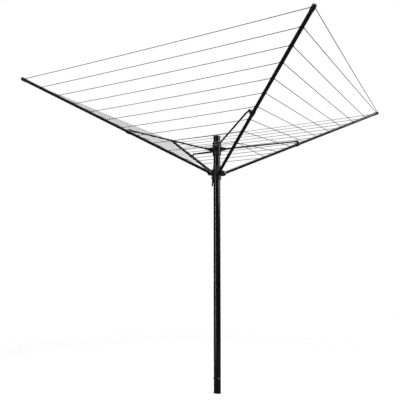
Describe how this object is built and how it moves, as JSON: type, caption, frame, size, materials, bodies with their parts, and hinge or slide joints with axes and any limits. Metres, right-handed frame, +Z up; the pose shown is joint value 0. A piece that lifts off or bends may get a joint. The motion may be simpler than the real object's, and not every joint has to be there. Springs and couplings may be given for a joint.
{
  "type": "rotary clothesline",
  "caption": "Umbrella-style rotary clothes airer: upright mast, sliding hub with folding arms and struts, a locking lever and a spiral of drying line between the arms.",
  "frame": {"origin": "centre of the mast's foot, at the lowest point of the foot plug", "axes": "+Z up along the mast; with the arms open they lie along -Y (front), +X (right), +Y (back) and -X (left)"},
  "size_m": [2.7952, 2.7952, 2.128],
  "materials": {
    "mast_paint": "semi-gloss black powder coat",
    "arm_paint": "semi-gloss black powder coat",
    "strut_paint": "semi-gloss black powder coat",
    "hub_plastic": "moulded, fine texture",
    "cap_plastic": "moulded, slightly smoother",
    "eyelet_plastic": "moulded",
    "line_cover": "dark grey PVC sheath, soft sheen",
    "plated_steel": "zinc plated",
    "black_steel": "black oxide",
    "brake_rubber": "matt"
  },
  "bodies": {
    "mast": {"mast_tube": "mast_paint", "mast_top_cap": "cap_plastic", "mast_foot_plug": "cap_plastic", "foot_stop_pin": "plated_steel", "foot_rivet": "plated_steel", "upper_hub": "hub_plastic", "upper_hub_screws": "black_steel", "strut_pivot_pins": "black_steel"},
    "runner": {"runner_hub": "hub_plastic", "arm_pivot_pins": "plated_steel", "lever_pin": "black_steel"},
    "lever": {"lock_lever": "hub_plastic", "lever_brake_pad": "brake_rubber"},
    "arm_front": {"arm_tube_front": "arm_paint", "arm_root_plug_front": "hub_plastic", "arm_end_cap_front": "cap_plastic", "line_eyelets_front": "eyelet_plastic", "strut_bracket_front": "hub_plastic", "bracket_rivet_front": "black_steel", "line_front": "line_cover"},
    "strut_front": {"strut_front": "strut_paint", "bracket_pin_front": "black_steel"},
    "arm_right": {"arm_tube_right": "arm_paint", "arm_root_plug_right": "hub_plastic", "arm_end_cap_right": "cap_plastic", "line_eyelets_right": "eyelet_plastic", "strut_bracket_right": "hub_plastic", "bracket_rivet_right": "black_steel", "line_right": "line_cover"},
    "strut_right": {"strut_right": "strut_paint", "bracket_pin_right": "black_steel"},
    "arm_back": {"arm_tube_back": "arm_paint", "arm_root_plug_back": "hub_plastic", "arm_end_cap_back": "cap_plastic", "line_eyelets_back": "eyelet_plastic", "strut_bracket_back": "hub_plastic", "bracket_rivet_back": "black_steel", "line_back": "line_cover"},
    "strut_back": {"strut_back": "strut_paint", "bracket_pin_back": "black_steel"},
    "arm_left": {"arm_tube_left": "arm_paint", "arm_root_plug_left": "hub_plastic", "arm_end_cap_left": "cap_plastic", "line_eyelets_left": "eyelet_plastic", "strut_bracket_left": "hub_plastic", "bracket_rivet_left": "black_steel", "line_left": "line_cover"},
    "strut_left": {"strut_left": "strut_paint", "bracket_pin_left": "black_steel"}
  },
  "joints": [
    {"name": "runner_slide", "type": "slide", "parent": "mast", "child": "runner", "axis": [0, 0, 1], "range_m": [-1.0778, 0], "deforming": ["line_front", "line_right", "line_back", "line_left"]},
    {"name": "lever_hinge", "type": "hinge", "parent": "runner", "child": "lever", "pos_m": [-0.02475, 0.02475, 1.511], "axis": [0.7071, 0.7071, 0], "range_deg": [0, 80]},
    {"name": "arm_front_fold", "type": "hinge", "parent": "runner", "child": "arm_front", "pos_m": [0, -0.056, 1.545], "axis": [-1, 0, 0], "range_deg": [0, 66.81]},
    {"name": "strut_front_fold", "type": "hinge", "parent": "mast", "child": "strut_front", "pos_m": [-0.02, -0.0575, 1.7225], "axis": [1, 0, 0], "range_deg": [0, 101.65]},
    {"name": "arm_right_fold", "type": "hinge", "parent": "runner", "child": "arm_right", "pos_m": [0.056, 0, 1.545], "axis": [0, -1, 0], "range_deg": [0, 66.81]},
    {"name": "strut_right_fold", "type": "hinge", "parent": "mast", "child": "strut_right", "pos_m": [0.0575, -0.02, 1.7225], "axis": [0, 1, 0], "range_deg": [0, 101.65]},
    {"name": "arm_back_fold", "type": "hinge", "parent": "runner", "child": "arm_back", "pos_m": [0, 0.056, 1.545], "axis": [1, 0, 0], "range_deg": [0, 66.81]},
    {"name": "strut_back_fold", "type": "hinge", "parent": "mast", "child": "strut_back", "pos_m": [0.02, 0.0575, 1.7225], "axis": [-1, 0, 0], "range_deg": [0, 101.65]},
    {"name": "arm_left_fold", "type": "hinge", "parent": "runner", "child": "arm_left", "pos_m": [-0.056, 0, 1.545], "axis": [0, 1, 0], "range_deg": [0, 66.81]},
    {"name": "strut_left_fold", "type": "hinge", "parent": "mast", "child": "strut_left", "pos_m": [-0.0575, 0.02, 1.7225], "axis": [0, -1, 0], "range_deg": [0, 101.65]}
  ],
  "couplings": [
    {"joint": "arm_front_fold", "follows": "runner_slide", "rad_per_m": -1.0817},
    {"joint": "strut_front_fold", "follows": "runner_slide", "rad_per_m": -1.6459},
    {"joint": "arm_right_fold", "follows": "runner_slide", "rad_per_m": -1.0817},
    {"joint": "strut_right_fold", "follows": "runner_slide", "rad_per_m": -1.6459},
    {"joint": "arm_back_fold", "follows": "runner_slide", "rad_per_m": -1.0817},
    {"joint": "strut_back_fold", "follows": "runner_slide", "rad_per_m": -1.6459},
    {"joint": "arm_left_fold", "follows": "runner_slide", "rad_per_m": -1.0817},
    {"joint": "strut_left_fold", "follows": "runner_slide", "rad_per_m": -1.6459}
  ]
}
